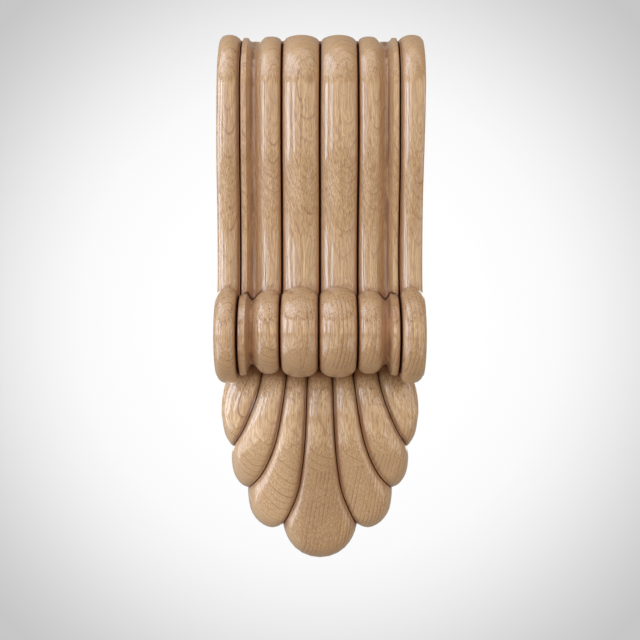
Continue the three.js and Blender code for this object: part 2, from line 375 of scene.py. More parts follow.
def makeRoll():
    # The reed section wrapped round the roll's axis, then closed at both ends
    edge = block["halfWidth"]
    waveOut, waveUp = roll["waveReach"]
    columns = []
    for x in reedPlaces(edge, rollReeds):
        reach = roll["lipRadius"] + reedHeight(x, rollReeds)
        centreZ = roll["z"] - roll["outerDrop"] * ease((abs(x) - roll["dropFrom"]) / roll["dropWidth"])
        atEnd = abs(x) == edge
        across = x if atEnd else x - roll["aside"] * clamp((edge - abs(x)) / roll["asideFade"])
        placedX = across + (math.copysign(roll["proud"], x) if atEnd else 0)
        column = []
        for j in range(roll["steps"] + 1):
            angle = 2 * math.pi * (j % roll["steps"]) / roll["steps"]
            c, s = math.cos(angle), math.sin(angle)
            waved = reach + handWave(across + roll["waveShift"], waveOut * c, waveUp * s)
            column.append([placedX, -(roll["out"] + waved * c), centreZ + waved * s])
        columns.append(column)
    piece = gridFromColumns("reededRoll", columns)
    editAll(piece)
    fillRims(0.01)
    faceOutwards()
    print("roll made")
    return piece


leaf = {
    "bulgeZ": -71,
    "bulgeRadius": 60,
    "bulgeOut": 72,
    "bulgeEnd": math.radians(25),
    "straighten": 0.0013,
    "sideDrop": 11,
    "ribRise": 4.5,
    "ribShoulder": 1.06,
    "grooveDepth": 2.6,
    "grooveHalf": 0.5,
    "grooveWall": (0.4, 0.85),  # share of the half width, and of the depth there
    "narrowest": 2.5,  # least width of a lobe, in half grooves
    "endLength": 11,
    "endDrop": 14,
    "ribSteps": 16,
    "edgeCrowding": 0.75,  # columns lie closer together towards the grooves
    "rows": 96,
    "endCrowding": 1.4,  # rows lie closer together towards the lobes' ends
    "curveSteps": 30,
    "waveShift": 80,
}

# Grooves of the leaf's right half, (x, z), from under the roll to the notch between two lobes
grooveLines = [
    [(7.6, -30), (7.7, -44), (8.8, -80), (10.8, -102), (14.6, -121), (24.2, -143)],
    [(20, -30), (20.6, -44), (24.3, -72), (29, -91), (36.6, -107), (46.8, -118.5)],
    [(35, -30), (36.3, -44), (39, -57), (43, -68), (48.5, -80), (55.5, -90.8)],
    [(56.5, -30), (58.6, -44), (61.2, -56), (61.9, -66), (61.6, -74)],
]
# Rounded ends of the lobes, from the outer notch to the inner one; the first is half the middle lobe
lobeEnds = [
    [(24.2, -143), (21.8, -150.4), (17.2, -157.6), (9.6, -163), (0, -165)],
    [(46.8, -118.5), (46.2, -126), (44.7, -133.5), (41, -139.6), (36, -143.6), (30.5, -145), (24.2, -143)],
    [(55.5, -90.8), (56.4, -98.5), (55.2, -108), (51.6, -114.8), (46.8, -118.5)],
    [(61.6, -74), (59.9, -82.6), (55.5, -90.8)],
]


def curveThrough(points):
    # A smooth curve through the points, as a function of the share of its length
    steps = leaf["curveSteps"]
    last = len(points) - 1
    fine = []
    for i in range(last):
        a, b, c, d = (np.array(points[k]) for k in (max(i - 1, 0), i, i + 1, min(i + 2, last)))
        inTangent, outTangent = (c - a) / 2, (d - b) / 2
        cubed = 2 * b - 2 * c + inTangent + outTangent
        squared = 3 * c - 3 * b - 2 * inTangent - outTangent
        for step in range(steps):
            u = step / steps
            fine.append(cubed * u ** 3 + squared * u ** 2 + inTangent * u + b)
    fine.append(np.array(points[last], float))
    fine = np.array(fine)
    lengths = np.concatenate([[0], np.cumsum(np.linalg.norm(np.diff(fine, axis=0), axis=1))])
    lengths /= lengths[-1]

    def along(share):
        return np.array([np.interp(share, lengths, fine[:, k]) for k in (0, 1)])

    return along


def leafCrestOut(z):
    radius, endAngle = leaf["bulgeRadius"], leaf["bulgeEnd"]
    centreOut = leaf["bulgeOut"] - radius
    bendZ = leaf["bulgeZ"] - radius * math.sin(endAngle)
    if z > bendZ:
        return centreOut + math.sqrt(radius ** 2 - (z - leaf["bulgeZ"]) ** 2)
    below = bendZ - z
    bendOut = centreOut + radius * math.cos(endAngle)
    return bendOut - math.tan(endAngle) * below + leaf["straighten"] * below ** 2


def lobeShare(column, lip):
    # Where a column lies across its lobe: groove floor, groove wall, rib, groove wall, groove floor
    steps = leaf["ribSteps"]
    wall = lip * leaf["grooveWall"][0]
    if column == 0 or column == steps + 4:
        return 0 if column == 0 else 1
    if column == 1 or column == steps + 3:
        return wall if column == 1 else 1 - wall
    even = (column - 2) / steps
    wave = (1 - math.cos(math.pi * (column - 2) / steps)) / 2
    return lerp(lip, 1 - lip, lerp(even, wave, leaf["edgeCrowding"]))


def lobeColumns(innerLine, outerLine, endLine):
    # One lobe's surface: a patch between its two grooves and its end, rounded across and at the end
    rows, half = leaf["rows"], leaf["grooveHalf"]
    headIn, headOut = innerLine(0), outerLine(0)
    footIn, footOut = innerLine(1), outerLine(1)
    shares = [1 - (1 - j / rows) ** leaf["endCrowding"] for j in range(rows + 1)]
    innerPoints = [innerLine(t) for t in shares]
    outerPoints = [outerLine(t) for t in shares]
    columns = []
    for i in range(leaf["ribSteps"] + 5):
        plan = []
        drops = []
        for j, t in enumerate(shares):
            width = float(np.linalg.norm(outerPoints[j] - innerPoints[j]))
            lip = half / max(leaf["narrowest"] * half, width)
            s = lobeShare(i, lip)
            head, foot, end = lerp(headIn, headOut, s), lerp(footIn, footOut, s), endLine(1 - s)
            plan.append(lerp(innerPoints[j], outerPoints[j], s) + lerp(head, end, t) - lerp(head, foot, t))
            inside = clamp((s - lip) / (1 - 2 * lip))
            drop = leaf["ribRise"] * (1 - ellipse(min(1, abs(2 * inside - 1) * leaf["ribShoulder"])))
            if s < lip or s > 1 - lip:
                drop += leaf["grooveDepth"] * (1 if s in (0, 1) else leaf["grooveWall"][1])
            drops.append(drop)
        toEnd = [0] * (rows + 1)
        for j in range(rows - 1, -1, -1):
            toEnd[j] = toEnd[j + 1] + float(np.linalg.norm(plan[j] - plan[j + 1]))
        column = []
        for j, (x, z) in enumerate(plan):
            endDrop = leaf["endDrop"] * (1 - ellipse(max(0, 1 - toEnd[j] / leaf["endLength"])))
            sideDrop = leaf["sideDrop"] * (x / block["halfWidth"]) ** 2
            out = leafCrestOut(z) - sideDrop - drops[j] - endDrop
            column.append([float(x), -(out + handWave(x + leaf["waveShift"], out, z)), float(z)])
        columns.append(column)
    return columns


def makeLeaf():
    lines = [curveThrough(line) for line in grooveLines]
    right = []
    for lobe in range(1, len(lobeEnds)):
        columns = lobeColumns(lines[lobe - 1], lines[lobe], curveThrough(lobeEnds[lobe]))
        right += columns if lobe == 1 else columns[1:]
    left = [[[-x, y, z] for x, y, z in column] for column in right[::-1]]
    mirrored = [(-x, z) for x, z in grooveLines[0]]
    wholeEnd = lobeEnds[0] + [(-x, z) for x, z in lobeEnds[0][-2::-1]]
    middle = lobeColumns(curveThrough(mirrored), lines[0], curveThrough(wholeEnd))
    columns = [column[::-1] for column in left + middle[1:-1] + right]
    piece = gridFromColumns("shellLeaf", columns)
    closeToWall(piece)
    print("leaf made")
    return piece


sides = {  # sunk panel and spiral groove on each side
    "cutterProud": 2.5,
    "panelDepth": 2,
    "panelBorder": 9,
    "panelTopZ": 152,
    "panelBackOut": 13,
    "panelFootZ": -27,
    "panelRollRadius": 33,
    "panelRollLap": 1,
    "panelSteps": 16,
    "panelCove": 1.2,
    "panelFloor": (0.965, 0.986),  # its floor against its rim, out and upright
    "panelMiddle": (44, 62),  # out, z
    "voluteStart": math.radians(232),
    "voluteTurns": 1.45,
    "voluteFrom": 26.5,
    "voluteEye": 6.4,
    "voluteWindIn": 0.8,
    "voluteWidth": 2.8,
    "voluteDepth": 2,
    "voluteSection": [(0, 0.1), (0.45, 0.6), (0.9, 1.8)],  # half a rounded V: share across, height
    "voluteMouth": 1.45,
    "voluteSteps": 64,
    "voluteProud": 1,
}


def panelOutline():
    bellyZ = block["height"] / 2 - body["topRise"]
    border, steps = sides["panelBorder"], sides["panelSteps"]
    points = []

    def addArc(centreOut, centreZ, radius, angle):
        points.append((centreOut + radius * math.cos(angle), centreZ + radius * math.sin(angle)))

    reach = body["topRadius"] - border
    topAngle = math.asin((sides["panelTopZ"] - bellyZ) / reach)
    for i in range(steps + 1):
        addArc(body["bellyOut"] - body["topRadius"], bellyZ, reach, topAngle * (1 - i / steps))
    rollRadius = sides["panelRollRadius"]
    footZ = roll["z"] + rollRadius - sides["panelRollLap"]
    for i in range(1, 2 * steps + 1):
        z = lerp(bellyZ, footZ, i / (2 * steps))
        recess = body["neckRecess"] * ease((bellyZ - z) / body["bellyDrop"])
        points.append((body["bellyOut"] - border - recess, z))
    fromAngle = math.acos((points[-1][0] - roll["out"]) / rollRadius)
    toAngle = math.pi - math.asin((sides["panelFootZ"] - roll["z"]) / rollRadius)
    for i in range(1, 2 * steps + 1):
        addArc(roll["out"], roll["z"], rollRadius, lerp(fromAngle, toAngle, i / (2 * steps)))
    points += [(sides["panelBackOut"], sides["panelFootZ"]), (sides["panelBackOut"], sides["panelTopZ"])]
    return points


def makePanelCutter(side):
    # A filled outline pushed into the side, and inset at its floor for a small cove
    outline = panelOutline()
    deselectAll()
    bpy.ops.mesh.primitive_circle_add(vertices=len(outline), radius=1, fill_type="NGON")
    piece = bpy.context.object
    outerX = side * (block["halfWidth"] + sides["cutterProud"])
    placePoints(piece, [(outerX, -out, z) for out, z in outline])
    editAll(piece)
    straight = side * (sides["cutterProud"] + sides["panelDepth"] - sides["panelCove"]) * mm
    cove = side * sides["panelCove"] * mm
    floorOut, floorUpright = sides["panelFloor"]
    middleOut, middleZ = sides["panelMiddle"]
    bpy.ops.mesh.extrude_region_move(TRANSFORM_OT_translate={"value": (-straight, 0, 0)})
    bpy.ops.mesh.extrude_region_move(TRANSFORM_OT_translate={"value": (-cove, 0, 0)})
    centre = (0, -middleOut * mm, middleZ * mm)
    bpy.ops.transform.resize(value=(1, floorOut, floorUpright), center_override=centre)
    faceOutwards()
    return piece


def makeVoluteCutter(name, side, startTurn, endTurn):
    # A rounded V section carried along the spiral from one turn to another; a whole turn is the eye
    steps = round((endTurn - startTurn) * sides["voluteSteps"])
    top = block["halfWidth"] + roll["proud"] + sides["voluteProud"]
    floor = block["halfWidth"] - sides["voluteDepth"]
    halfWidth = sides["voluteWidth"] / 2
    right = [(across, floor + rise) for across, rise in sides["voluteSection"]]
    right.append((sides["voluteMouth"], top))
    section = [(-across, x) for across, x in right[:0:-1]] + right
    closed = endTurn - startTurn == 1
    rows = []
    for i in range(steps + 1):
        turned = lerp(startTurn, endTurn, (i % steps if closed else i) / steps)
        angle = sides["voluteStart"] - turned * 2 * math.pi
        wound = 1 if closed else min(1, turned / sides["voluteTurns"]) ** sides["voluteWindIn"]
        radius = lerp(sides["voluteFrom"], sides["voluteEye"], wound)
        row = []
        for across, x in section + section[:1]:
            reach = radius + across * halfWidth
            out = roll["out"] + reach * math.cos(angle)
            row.append([side * x, -out, roll["z"] + reach * math.sin(angle)])
        rows.append(row)
    piece = gridFromColumns(name, rows)
    editAll(piece)
    if closed:
        bpy.ops.mesh.remove_doubles(threshold=0.001 * mm)
    else:
        fillRims(0.001)
    faceOutwards()
    return piece


creases = {  # how shut in each point is and where parts meet: masks for stain and painted shade in slots and creases
    "reach": 9,
    "rays": 20,
    "lift": 0.05,
    "farWallsCount": 0.4,  # how much a wall at full reach still shuts a point in
    "evenWithin": 1.5,
    "evenTimes": 2,
    "backOut": 2,  # nothing is marked nearer the wall than this
    "meetingReach": 1.5,
    "meetingOut": 50,  # where body, roll and leaf meet, only the front is marked
    "meetingAside": 61,
}


def scatter(count):
    # Evenly spread directions on a half sphere round +Z, more of them near its pole
    directions = []
    for i in range(count):
        height = math.sqrt(1 - (i + 0.5) / count)
        angle = i * math.pi * (3 - math.sqrt(5))
        reach = math.sqrt(1 - height * height)
        directions.append(Vector((reach * math.cos(angle), reach * math.sin(angle), height)))
    return directions


def surfaceOf(mesh):
    return BVHTree.FromPolygons([v.co for v in mesh.vertices], [tuple(p.vertices) for p in mesh.polygons])


def keepValues(mesh, name, values):
    attribute = mesh.attributes.new(name, "FLOAT", "POINT")
    attribute.data.foreach_set("value", np.array(values, np.float32))


def markJoints(piece, surfaces):
    # 1 along the lines where body, roll and leaf meet in front, 0 beyond reach of them
    reach = creases["meetingReach"] * mm
    near = []
    for vertex in piece.data.vertices:
        if vertex.co.y > -creases["meetingOut"] * mm or abs(vertex.co.x) > creases["meetingAside"] * mm:
            near.append(0)
            continue
        found = [surface.find_nearest(vertex.co, reach)[3] for surface in surfaces]
        second = sorted(reach if distance is None else distance for distance in found)[1]
        near.append(1 - second / reach)
    keepValues(piece.data, "joint", near)


def markCrevices(piece):
    # How shut in each point is, from 0 in the open to 1 in a slot
    mesh = piece.data
    tree = surfaceOf(mesh)
    directions = scatter(creases["rays"])
    reach = creases["reach"] * mm
    shut = np.zeros(len(mesh.vertices))
    for i, vertex in enumerate(mesh.vertices):
        if vertex.co.y > -creases["backOut"] * mm:
            continue
        turn = Vector((0, 0, 1)).rotation_difference(vertex.normal)
        start = vertex.co + vertex.normal * creases["lift"] * mm
        for direction in directions:
            distance = tree.ray_cast(start, turn @ direction, reach)[3]
            if distance is not None:
                shut[i] += lerp(1, creases["farWallsCount"], distance / reach)
    shut /= creases["rays"]

    # Evened out with the nearest neighbours
    ends = np.array([edge.vertices[:] for edge in mesh.edges])
    lengths = np.linalg.norm([mesh.vertices[a].co - mesh.vertices[b].co for a, b in ends], axis=1)
    near = ends[lengths < creases["evenWithin"] * mm]
    for _ in range(creases["evenTimes"]):
        total = shut.copy()
        count = np.ones(len(shut))
        for here, there in ((0, 1), (1, 0)):
            np.add.at(total, near[:, here], shut[near[:, there]])
            np.add.at(count, near[:, here], 1)
        shut = total / count
    keepValues(mesh, "crevice", shut)


def makeCorbel():
    piece, rollPiece, leafPiece = makeBody(), makeRoll(), makeLeaf()
    surfaces = [surfaceOf(part.data) for part in (piece, rollPiece, leafPiece)]
    combine(piece, rollPiece, "UNION")
    combine(piece, leafPiece, "UNION")
    turns = sides["voluteTurns"]
    for side in (1, -1):
        combine(piece, makePanelCutter(side), "DIFFERENCE")
        combine(piece, makeVoluteCutter("spiralCutter", side, 0, turns), "DIFFERENCE")
        combine(piece, makeVoluteCutter("eyeCutter", side, turns, turns + 1), "DIFFERENCE")
    piece.name = piece.data.name = "carvedCorbel"
    print("body, roll and leaf joined, sides carved")
    applyModifier(piece, "TRIANGULATE")
    deselectAll()
    bpy.context.view_layer.objects.active = piece
    piece.select_set(True)
    bpy.ops.object.shade_smooth_by_angle(angle=math.radians(38))
    markCrevices(piece)
    markJoints(piece, surfaces)
    print("corbel:", len(piece.data.polygons), "triangles")
    return piece


corbel = makeCorbel()

carvedWood = {  # lengths in millimetres
    "light": (0.41, 0.272, 0.14),
    "ring": (0.19, 0.09, 0.04),
    "fibre": (0.205, 0.108, 0.05),
    "fleck": (0.14, 0.058, 0.026),
    # glaze and stain are partly painted shade: darker in slots, creases and where parts meet
    "glazeAndShade": (0.25, 0.105, 0.046),
    "stainAndShade": (0.066, 0.021, 0.008),
    "leftBoard": (0.96, 0.95, 0.97),
    "rightBoard": (0.95, 0.95, 0.96),
    "lobePaintedLight": (1.3, 1.38, 1.5),  # painted light: the outer lobes made paler, the left ones most, as if lit from the left
    "boardJoint": -11.5,
    "boardDepths": (-91, -63),
    "boardEdge": 0.1,
    "ringSpacing": 2.9,
    "ringRise": 0.1,  # how much the rings lean out of the upright
    "ringDrift": 6,
    "ringBend": 0.002,
    "leftRings": (0.36, -34),  # slope across, and the middle that they bend round
    "rightRings": (0.42, 16),
    "steepRings": (0.95, 0.3),  # across and into the board
    "steepRingSpacing": 2.4,
    "ringContrast": 1.4,
    "lateWoodPower": 2,
    "fleckScale": (0.55, 0.55, 0.19),
    "hollowAside": 40.8,
    "roughness": 0.5,
    "fibreRoughness": 0.12,
    "bareRoughness": 0.25,
    "coat": 0.9,
    "coatRoughness": 0.12,
    "bareShine": 0.3,
    "bumpStrength": 0.5,
    "bumpHeight": 0.1,
    "bumpShares": (-0.8, -0.6, -0.5),  # of dashes, pores and streaks
    "knots": [(-50.9, -79, 152), (-51.2, -97.4, -3.6), (52.7, -100.7, -28.6), (-43.2, -48, -126.5)],
}

woodShares = {  # how strongly each pattern shows
    "rings": 0.95,
    "streaks": 0.6,
    "dashes": 0.45,
    "fine": 0.3,
    "pores": 0.55,
    "flecks": 0.6,
    "endGrain": 0.3,
    "glueLine": 0.5,
    "knots": 0.85,
}

woodNoise = {  # scale across, out and up; detail; roughness
    "drift": ((0.045, 0.045, 0.012), 2, 0.5),
    "patches": ((0.12, 0.12, 0.03), 2, 0.5),
    "streaks": ((1.9, 1.9, 0.03), 2, 0.6),
    "dashes": ((1.5, 1.5, 0.09), 2, 0.6),
    "fine": ((3.2, 3.2, 0.3), 2, 0.6),
    "pores": ((1.3, 1.3, 0.22), 1, 0.5),
    "glueLine": ((0.2, 0.2, 0.25), 2, 0.5),
    "scorch": ((0.3, 0.3, 0.035), 2, 0.5),
}

woodRanges = {  # from and to, then the shares there if they aren't 0 and 1
    "patches": (0.3, 0.65, 0.3, 1),
    "streaks": (0.4, 0.62),
    "dashes": (0.44, 0.7),
    "fine": (0.5, 0.75),
    "pores": (0.56, 0.66),
    "glueLine": (0.35, 0.6),
    "scorch": (0.35, 0.6),
    "endGrain": (0.1, 0.85),
    "sideGrain": (0.1, 0.8, 1, 0.35),
    "ringStrength": (0, 1, 0.3, 1.2),
    "ringLineStarts": (0.8, 0.95),
    "ringLineEnds": (0.96, 1, 1, 0),
    "lateWood": (0, 1, 0.12, 0.8),
    "facesUp": (0.08, 0.3),
    "poresHigh": (30, 45, 1, 0.2),
    "poresOpen": (0, 1, 0.35, 1.3),
    "fleckEdge": (0.1, 0.26, 1, 0),
    "fleckChance": (0.6, 0.85),
    "knotEdge": (0.45, 1.1, 1, 0),
    "glueLineEdge": (0.05, 0.22, 1, 0),
    "onLeaf": (-47, -42, 1, 0),
    "outerLobes": (8, 24),
    "leftLobes": (0, 1, 0.55, 1),
    # the glaze and stain ranges below place painted shade as well as glaze and stain
    "glazeShadeLow": (-62, -53, 0.9, 0.4),
    "glazeShadeHigh": (-48, -44),
    "glazeShadeShut": (0.04, 0.4, 0, 0.85),
    "stainShadeShut": (0.46, 0.7),
    "stainShadeLow": (-47, -42, 0.5, 1),
    "scorchEdge": (0.3, 1.8, 1, 0),
    "scorchLow": (-46, -38, 0, 0.85),
    "scorchFront": (-50, -44, 1, 0),
    # painted shade along the lines where the roll meets body and leaf
    "meeting": (0, 0.6),
    "meetingHollow": (4, 7, 1, 0.1),
    "meetingLow": (-34, -28, 0.8, 0),
    "lacquerFront": (-1.2, -0.3, 1, 0),
}


def newNode(tree, kind, **settings):
    node = tree.nodes.new(kind)
    for key, value in settings.items():
        setattr(node, key, value)
    return node


def feed(tree, socket, value):
    if isinstance(value, bpy.types.NodeSocket):
        tree.links.new(value, socket)
    else:
        socket.default_value = value


def maths(tree, operation, *values):
    node = newNode(tree, "ShaderNodeMath", operation=operation)
    for socket, value in zip(node.inputs, values):
        feed(tree, socket, value)
    return node.outputs["Value"]


def times(tree, first, *others):
    for other in others:
        first = maths(tree, "MULTIPLY", first, other)
    return first


def remainder(tree, share):
    return maths(tree, "SUBTRACT", 1, share)


def vectorMaths(tree, operation, first, second):
    node = newNode(tree, "ShaderNodeVectorMath", operation=operation)
    feed(tree, node.inputs[0], first)
    feed(tree, node.inputs[1], second)
    return node.outputs["Value" if operation in ("LENGTH", "DISTANCE") else "Vector"]


def axesOf(tree, vector):
    node = newNode(tree, "ShaderNodeSeparateXYZ")
    feed(tree, node.inputs["Vector"], vector)
    return [node.outputs[label] for label in "XYZ"]


def spread(tree, value, low, high, toLow=0, toHigh=1, smooth=True):
    node = newNode(tree, "ShaderNodeMapRange", interpolation_type="SMOOTHSTEP" if smooth else "LINEAR")
    feed(tree, node.inputs["Value"], value)
    for label, number in (("From Min", low), ("From Max", high), ("To Min", toLow), ("To Max", toHigh)):
        node.inputs[label].default_value = number
    return node.outputs["Result"]


def mixColours(tree, share, first, second, blendType="MIX"):
    node = newNode(tree, "ShaderNodeMix", data_type="RGBA", blend_type=blendType)
    feed(tree, node.inputs["Factor"], share)
    for label, value in (("A", first), ("B", second)):
        socket = next(s for s in node.inputs if s.name == label and s.type == "RGBA")
        feed(tree, socket, value if isinstance(value, bpy.types.NodeSocket) else (*value, 1))
    return next(s for s in node.outputs if s.type == "RGBA")


def blend(tree, share, first, second):
    # first where share is 0, second where it is 1
    return maths(tree, "ADD", times(tree, second, share), times(tree, first, remainder(tree, share)))


def ranged(tree, value, name, smooth=True):
    return spread(tree, value, *woodRanges[name], smooth=smooth)


def grain(tree, place, name):
    # Noise stretched along the block, from 0 to 1
    scale, detail, roughness = woodNoise[name]
    node = newNode(tree, "ShaderNodeTexNoise")
    feed(tree, node.inputs["Vector"], vectorMaths(tree, "MULTIPLY", place, scale))
    node.inputs["Scale"].default_value = 1
    node.inputs["Detail"].default_value = detail
    node.inputs["Roughness"].default_value = roughness
    return node.outputs["Fac"]


def ringCoordinate(tree, place, x, y, z, flatBoard, leftBoard):
    # How many growth rings in a point lies: flat-sawn boards, and steeply cut ones at the right
    uneven = maths(tree, "SUBTRACT", grain(tree, place, "drift"), 0.5)
    depth = maths(tree, "ADD", times(tree, y, -1), times(tree, uneven, carvedWood["ringDrift"]))
    depth = maths(tree, "ADD", depth, times(tree, z, carvedWood["ringRise"]))

    def tilted(slope, middle):
        fromMiddle = maths(tree, "SUBTRACT", x, middle)
        curved = times(tree, fromMiddle, fromMiddle, carvedWood["ringBend"])
        leaning = maths(tree, "ADD", depth, times(tree, fromMiddle, slope))
        return maths(tree, "DIVIDE", maths(tree, "ADD", leaning, curved), carvedWood["ringSpacing"])

    across, inwards = carvedWood["steepRings"]
    steep = maths(tree, "SUBTRACT", times(tree, x, across), times(tree, depth, inwards))
    rightSteep = maths(tree, "DIVIDE", steep, carvedWood["steepRingSpacing"])
    right = blend(tree, flatBoard, rightSteep, tilted(*carvedWood["rightRings"]))
    return blend(tree, leftBoard, right, tilted(*carvedWood["leftRings"]))


def ringPattern(tree, place, x, y, z, leftBoard):
    # Each ring darkens slowly and ends in a thin dark line
    front, back = carvedWood["boardDepths"]
    edge = carvedWood["boardEdge"]
    behindFront = spread(tree, y, front - edge, front + edge)
    flatBoard = times(tree, behindFront, spread(tree, y, back - edge, back + edge, 1, 0))
    rings = ringCoordinate(tree, place, x, y, z, flatBoard, leftBoard)
    steepCut = times(tree, remainder(tree, flatBoard), remainder(tree, leftBoard))
    within = maths(tree, "FRACT", rings)
    chance = newNode(tree, "ShaderNodeTexWhiteNoise", noise_dimensions="1D")
    feed(tree, chance.inputs["W"], maths(tree, "FLOOR", rings))
    strength = maths(tree, "POWER", chance.outputs["Value"], carvedWood["ringContrast"])
    strength = ranged(tree, strength, "ringStrength", smooth=False)
    line = times(tree, ranged(tree, within, "ringLineStarts"), ranged(tree, within, "ringLineEnds"))
    late = maths(tree, "POWER", within, carvedWood["lateWoodPower"])
    late = times(tree, late, ranged(tree, steepCut, "lateWood", smooth=False))
    patchy = ranged(tree, grain(tree, place, "patches"), "patches")
    return times(tree, maths(tree, "ADD", line, late), strength, patchy)


def fleckPattern(tree, place):
    # Ray flecks: short dark dashes
    cells = newNode(tree, "ShaderNodeTexVoronoi", feature="F1")
    scaled = vectorMaths(tree, "MULTIPLY", place, carvedWood["fleckScale"])
    feed(tree, cells.inputs["Vector"], scaled)
    cells.inputs["Scale"].default_value = 1
    chance = newNode(tree, "ShaderNodeSeparateColor")
    feed(tree, chance.inputs["Color"], cells.outputs["Color"])
    dash = ranged(tree, cells.outputs["Distance"], "fleckEdge")
    return times(tree, dash, ranged(tree, chance.outputs["Red"], "fleckChance"))


def knotPattern(tree, place):
    knots = 0
    for knot in carvedWood["knots"]:
        near = ranged(tree, vectorMaths(tree, "DISTANCE", place, knot), "knotEdge")
        knots = maths(tree, "MAXIMUM", knots, near)
    return knots


def layer(tree, colour, mask, name, tint):
    return mixColours(tree, times(tree, mask, woodShares[name]), colour, carvedWood[tint])


def makeWood():
    material = bpy.data.materials.new("carvedWood")
    material.use_nodes = True
    tree = material.node_tree
    shader = tree.nodes["Principled BSDF"]
    shader.inputs["Coat Roughness"].default_value = carvedWood["coatRoughness"]
    shader.inputs["Specular IOR Level"].default_value = carvedWood["bareShine"]

    metres = newNode(tree, "ShaderNodeTexCoord").outputs["Object"]
    place = vectorMaths(tree, "MULTIPLY", metres, (1000, 1000, 1000))
    x, y, z = axesOf(tree, place)
    aside = maths(tree, "ABSOLUTE", x)
    facing = axesOf(tree, newNode(tree, "ShaderNodeNewGeometry").outputs["Normal"])[2]
    endGrain = ranged(tree, maths(tree, "ABSOLUTE", facing), "endGrain")

    # The block is glued up from boards
    glueX, edge = carvedWood["boardJoint"], carvedWood["boardEdge"]
    leftBoard = spread(tree, x, glueX - edge, glueX + edge, 1, 0)
    glueLine = maths(tree, "ABSOLUTE", maths(tree, "SUBTRACT", x, glueX))
    glueLine = ranged(tree, glueLine, "glueLineEdge")
    glueLine = times(tree, glueLine, ranged(tree, grain(tree, place, "glueLine"), "glueLine"))

    # Fibres run up and down the block, as long faint streaks and short dashes; steep cuts open pores
    streaks = grain(tree, place, "streaks")
    dashes = grain(tree, place, "dashes")
    sideGrain = ranged(tree, endGrain, "sideGrain")
    streakMask = times(tree, ranged(tree, streaks, "streaks"), sideGrain)
    dashMask = times(tree, ranged(tree, dashes, "dashes"), sideGrain)
    fineMask = ranged(tree, grain(tree, place, "fine"), "fine")
    opened = times(tree, ranged(tree, facing, "facesUp"), ranged(tree, z, "poresHigh"))
    poreMask = ranged(tree, grain(tree, place, "pores"), "pores")
    poreMask = times(tree, poreMask, ranged(tree, opened, "poresOpen"))

    colour = carvedWood["light"]
    colour = layer(tree, colour, ringPattern(tree, place, x, y, z, leftBoard), "rings", "ring")
    colour = layer(tree, colour, streakMask, "streaks", "fibre")
    colour = layer(tree, colour, dashMask, "dashes", "fibre")
    colour = layer(tree, colour, fineMask, "fine", "fibre")
    colour = layer(tree, colour, poreMask, "pores", "fleck")
    colour = layer(tree, colour, fleckPattern(tree, place), "flecks", "fleck")
    board = mixColours(tree, leftBoard, carvedWood["rightBoard"], carvedWood["leftBoard"])
    colour = mixColours(tree, 1, colour, board, "MULTIPLY")
    # Painted light: the leaf's outer lobes are made paler, the left ones most, as lit by the lamps on the
    # left
    paintedLightShare = times(tree, ranged(tree, z, "onLeaf"), ranged(tree, aside, "outerLobes"))
    paintedLightShare = times(tree, paintedLightShare, ranged(tree, leftBoard, "leftLobes"))
    paintedLit = mixColours(tree, 1, colour, carvedWood["lobePaintedLight"], "MULTIPLY")
    colour = mixColours(tree, paintedLightShare, colour, paintedLit)
    colour = layer(tree, colour, endGrain, "endGrain", "fibre")
    colour = layer(tree, colour, glueLine, "glueLine", "fleck")
    colour = layer(tree, colour, knotPattern(tree, place), "knots", "stainAndShade")

    # Glaze and painted shade round the slots and in the leaf's grooves, darker where a point is more shut
    # in, less on the leaf under the roll
    crevice = newNode(tree, "ShaderNodeAttribute", attribute_name="crevice").outputs["Fac"]
    clearOfRoll = maths(tree, "MAXIMUM", ranged(tree, z, "glazeShadeLow"), ranged(tree, z, "glazeShadeHigh"))
    glazedAndShaded = times(tree, ranged(tree, crevice, "glazeShadeShut", smooth=False), clearOfRoll)
    colour = mixColours(tree, glazedAndShaded, colour, carvedWood["glazeAndShade"])

    # A scorched line down the hollows, left by the cutter
    offHollow = maths(tree, "ABSOLUTE", maths(tree, "SUBTRACT", aside, carvedWood["hollowAside"]))
    scorched = times(
        tree,
        ranged(tree, offHollow, "scorchEdge"),
        ranged(tree, grain(tree, place, "scorch"), "scorch"),
        times(tree, ranged(tree, z, "scorchLow"), ranged(tree, y, "scorchFront")),
    )
    colour = mixColours(tree, scorched, colour, carvedWood["fleck"])

    # Stain and painted shade in the slots, less of it in the leaf's grooves; painted shade where the roll
    # meets body and leaf, strongest in the hollows and under the roll
    meeting = newNode(tree, "ShaderNodeAttribute", attribute_name="joint").outputs["Fac"]
    notHollow = ranged(tree, offHollow, "meetingHollow")
    meetingDark = maths(tree, "MAXIMUM", notHollow, ranged(tree, z, "meetingLow"))
    meetingShade = times(tree, ranged(tree, meeting, "meeting"), meetingDark)
    slotStainAndShade = times(tree, ranged(tree, crevice, "stainShadeShut"), ranged(tree, z, "stainShadeLow"))
    stainedAndShaded = maths(tree, "MAXIMUM", slotStainAndShade, meetingShade)
    feed(tree, shader.inputs["Base Color"], mixColours(tree, stainedAndShaded, colour, carvedWood["stainAndShade"]))

    # The back is left unlacquered
    lacquered = times(tree, ranged(tree, y, "lacquerFront"), remainder(tree, stainedAndShaded))
    feed(tree, shader.inputs["Coat Weight"], times(tree, lacquered, carvedWood["coat"]))
    rough = times(tree, fineMask, carvedWood["fibreRoughness"])
    rough = maths(tree, "ADD", rough, carvedWood["roughness"])
    bare = times(tree, remainder(tree, lacquered), carvedWood["bareRoughness"])
    feed(tree, shader.inputs["Roughness"], maths(tree, "ADD", rough, bare))

